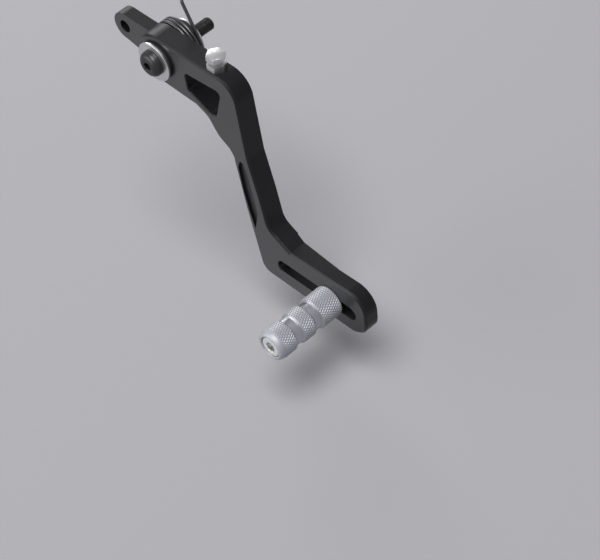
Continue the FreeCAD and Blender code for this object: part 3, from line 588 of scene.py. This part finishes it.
# Step pin screw: a plated M8 cap screw with a hexagon socket, sunk in the pin's tip. It runs
# through the pin and the slot into its nut, and clamps them on the foot.
SCREW_LOW, SCREW_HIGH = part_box("step_pin_screw")
SCREW_BASE = Vector((PIN_BASE.x, SCREW_HIGH.y, PIN_BASE.z))
SCREW_TOP = (SCREW_HIGH.y - SCREW_LOW.y) / MM
SCREW_RADIUS = 4.0
SCREW_HEAD = 8.0
SCREW_HEAD_RADIUS = 6.35
SCREW_HEAD_EDGE = ((0.6, 0.0), (0.2, 0.25), (0.0, 0.7))
SCREW_CHAMFER = 0.8
SCREW_FLATS = 6.0
SCREW_SOCKET = 4.0
SCREW_THREAD = 22.0
# Depths and reach of the socket walls that are given painted shade.
SOCKET_SHADE_FROM = 0.5
SOCKET_SHADE_ABOVE_FLOOR = 0.1
SOCKET_SHADE_WITHIN = SCREW_FLATS * 0.6
screw_seat = SCREW_TOP - SCREW_HEAD
screw_rows = [(0.0, 0.0)]
screw_rows += thread_rows(0.0, SCREW_THREAD, SCREW_RADIUS, COARSE_PITCH,
                          chamfer=SCREW_CHAMFER)
screw_rows += [(SCREW_THREAD, SCREW_RADIUS), (screw_seat, SCREW_RADIUS),
               (screw_seat, SCREW_HEAD_RADIUS)]
screw_rows += [(SCREW_TOP - under, SCREW_HEAD_RADIUS - inward)
               for under, inward in SCREW_HEAD_EDGE]
screw_rows += hexagon_socket(SCREW_TOP, SCREW_FLATS, SCREW_SOCKET)
step_screw = lathe("step_pin_screw_threaded", SCREW_BASE, screw_rows, AROUND)
bright_zinc = finish(
    "bright_zinc", (0.84, 0.85, 0.83), (0.9, 0.9, 0.88), metallic=0.7, roughness=0.34,
    grain=3200.0, line_share=0.3, line_along=(0.0, 1.0, 0.0), spread=0.12, bump=0.00001,
    patch=90.0, amount=0.5)
step_screw.data.materials.append(bright_zinc)
step_screw.data.materials.append(plated_steel)
# The walls of the hexagon socket take the darker plated steel in place of the bright zinc:
# painted shade in the socket.
for face in step_screw.data.polygons:
    deep = SCREW_TOP - (SCREW_BASE.y - face.center.y) / MM
    beside = (face.center - SCREW_BASE).cross(Vector((0.0, 1.0, 0.0))).length / MM
    if SOCKET_SHADE_FROM < deep < SCREW_SOCKET - SOCKET_SHADE_ABOVE_FLOOR and beside < SOCKET_SHADE_WITHIN:
        face.material_index = 1
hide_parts("step_pin_screw")
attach(step_screw, "step")

# Lock washer and slot nut of the step pin's screw: plated steel. The washer lies under the
# screw's head, and the nut slides in the track behind the slot.
for node in ("step_pin_lock_washer", "step_pin_nut"):
    dress(node, plated_steel)

# Camera: at the photograph's viewing angle, with no shift. Its place is worked out from where
# the foot of the step pin falls in the 600 by 560 picture.
IMAGE_WIDTH = 600.0
IMAGE_HEIGHT = 560.0
PIN_FOOT_PIXEL = (330.2, 299.8)
PIXELS_PER_METRE = 1765.0
CAMERA_DISTANCE = 1.5
AZIMUTH = math.radians(49.41)
ELEVATION = math.radians(46.85)
ROLL = math.radians(5.92)
SENSOR = 36.0
CLIP_NEAR = 0.05
CLIP_FAR = 50.0
back = Vector((math.sin(AZIMUTH) * math.cos(ELEVATION), -math.cos(AZIMUTH) * math.cos(ELEVATION),
               math.sin(ELEVATION)))
level = Vector((math.cos(AZIMUTH), math.sin(AZIMUTH), 0.0))
upright = back.cross(level)
right = level * math.cos(ROLL) - upright * math.sin(ROLL)
up = upright * math.cos(ROLL) + level * math.sin(ROLL)
offset_right = (PIN_FOOT_PIXEL[0] - IMAGE_WIDTH / 2.0) / PIXELS_PER_METRE
offset_down = (PIN_FOOT_PIXEL[1] - IMAGE_HEIGHT / 2.0) / PIXELS_PER_METRE
camera_data = bpy.data.cameras.new("camera")
camera_data.sensor_width = SENSOR
camera_data.lens = PIXELS_PER_METRE * CAMERA_DISTANCE / IMAGE_WIDTH * SENSOR
camera_data.clip_start = CLIP_NEAR
camera_data.clip_end = CLIP_FAR
camera = bpy.data.objects.new("camera", camera_data)
bpy.context.scene.collection.objects.link(camera)
place = PIN_BASE + back * CAMERA_DISTANCE - right * offset_right + up * offset_down
camera.matrix_world = (Matrix.Translation(place)
                       @ Matrix((right, up, back)).transposed().to_4x4())
bpy.context.scene.camera = camera

# Floor: a plain matt sheet in the photograph's pale grey. The pedal hangs on its pivot, and
# the sheet lies low enough for its foot to go down when it is pressed.
FLOOR_DROP = 0.034
FLOOR_HALF = 6.0
FLOOR_GREY = (0.373, 0.367, 0.391, 1.0)
FLOOR_ROUGHNESS = 0.9
floor_z = cad_box[0].z - FLOOR_DROP
floor_mesh = bpy.data.meshes.new("floor")
edges = [(-FLOOR_HALF, -FLOOR_HALF), (FLOOR_HALF, -FLOOR_HALF), (FLOOR_HALF, FLOOR_HALF),
         (-FLOOR_HALF, FLOOR_HALF)]
floor_mesh.from_pydata([(x, y, floor_z) for x, y in edges], [], [(0, 1, 2, 3)])
floor = bpy.data.objects.new("floor", floor_mesh)
bpy.context.scene.collection.objects.link(floor)
floor_paint = bpy.data.materials.new("floor_paint")
floor_paint.use_nodes = True
floor_tree = floor_paint.node_tree
floor_shader = floor_tree.nodes["Principled BSDF"]
floor_shader.inputs["Roughness"].default_value = FLOOR_ROUGHNESS
floor_shader.inputs["Base Color"].default_value = FLOOR_GREY
floor_mesh.materials.append(floor_paint)

# Light: a broad soft light from overhead, two weak lamps behind and in front of the pedal,
# and a dim even surround. The surround is seen and mirrored as pale as the floor.
PEDAL_MIDDLE = Vector((0.08, -0.03, -0.06))
OVERHEAD = Vector((0.1, -0.3, 0.95))
OVERHEAD_AWAY = 2.0
OVERHEAD_ENERGY = 2.75
OVERHEAD_SOFTNESS = math.radians(36.0)
ALL_ROUND = math.radians(180.0)
HOODED = math.radians(70.0)
LAMPS = (("rear_lamp", (-1.25, 0.7, 0.45), 0.8, 0.8, 6.0, ALL_ROUND),
         ("front_lamp", (-0.55, -1.35, 0.3), 2.3, 0.8, 4.0, HOODED))
SURROUND_LIGHT = (0.12, 0.122, 0.126, 1.0)
SURROUND_SHOWN = (0.43, 0.425, 0.45, 1.0)


def aim(lamp_data, place):
    """Puts a lamp at a place and turns it to the pedal."""
    lamp = bpy.data.objects.new(lamp_data.name, lamp_data)
    bpy.context.scene.collection.objects.link(lamp)
    lamp.location = place
    lamp.rotation_mode = "QUATERNION"
    lamp.rotation_quaternion = (PEDAL_MIDDLE - place).to_track_quat("-Z", "Y")


overhead = bpy.data.lights.new("overhead_light", "SUN")
overhead.energy = OVERHEAD_ENERGY
overhead.angle = OVERHEAD_SOFTNESS
aim(overhead, PEDAL_MIDDLE + OVERHEAD * OVERHEAD_AWAY)
for name, place, width, height, watts, spread in LAMPS:
    lamp_data = bpy.data.lights.new(name, "AREA")
    lamp_data.shape = "RECTANGLE"
    lamp_data.size = width
    lamp_data.size_y = height
    lamp_data.energy = watts
    lamp_data.spread = spread
    aim(lamp_data, Vector(place))
world = bpy.data.worlds.new("surround")
bpy.context.scene.world = world
world.use_nodes = True
surround = world.node_tree
rays = add_node(surround, "ShaderNodeLightPath", (-900, 0))
shown = math_node(surround, "MAXIMUM", rays.outputs["Is Camera Ray"],
                  rays.outputs["Is Glossy Ray"])
shown = math_node(surround, "MAXIMUM", shown, rays.outputs["Is Transmission Ray"])
tint = add_node(surround, "ShaderNodeMix", (-300, 0), data_type="RGBA")
tint.inputs[MIX_COLOUR_A].default_value = SURROUND_LIGHT
tint.inputs[MIX_COLOUR_B].default_value = SURROUND_SHOWN
surround.links.new(shown, tint.inputs["Factor"])
surround.links.new(tint.outputs[MIX_COLOUR_RESULT], surround.nodes["Background"].inputs["Color"])
bpy.context.scene.view_settings.view_transform = "Standard"
